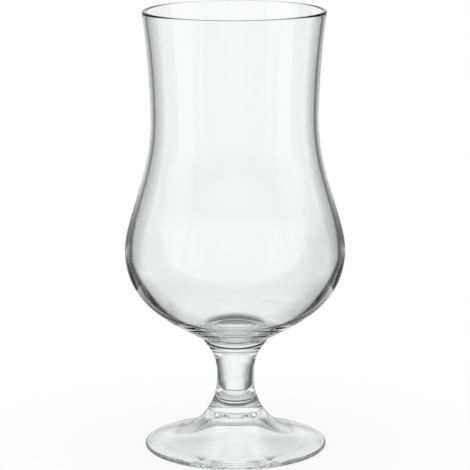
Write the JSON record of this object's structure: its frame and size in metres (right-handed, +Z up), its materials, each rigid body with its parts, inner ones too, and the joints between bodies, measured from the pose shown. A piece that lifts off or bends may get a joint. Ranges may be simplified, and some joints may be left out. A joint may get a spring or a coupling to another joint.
{
  "type": "cocktail glass",
  "caption": "Clear footed cocktail glass with a flared rim, drawn-in waist and low round belly on a short solid stem and a round pressed foot.",
  "frame": {"origin": "on the glass's axis, on the table plane under the foot", "axes": "+Z up along the axis of revolution, from the foot to the mouth; X and Y are level and interchangeable"},
  "size_m": [0.0886, 0.0886, 0.178],
  "materials": {
    "blown_glass": "clear blown soda-lime glass, fire polished",
    "stem_glass": "clear solid soda-lime glass, fire polished",
    "pressed_glass": "clear pressed soda-lime glass with a soft mould ripple"
  },
  "bodies": {
    "root": {"bowl": "blown_glass", "stem": "stem_glass", "foot": "pressed_glass"}
  },
  "joints": []
}
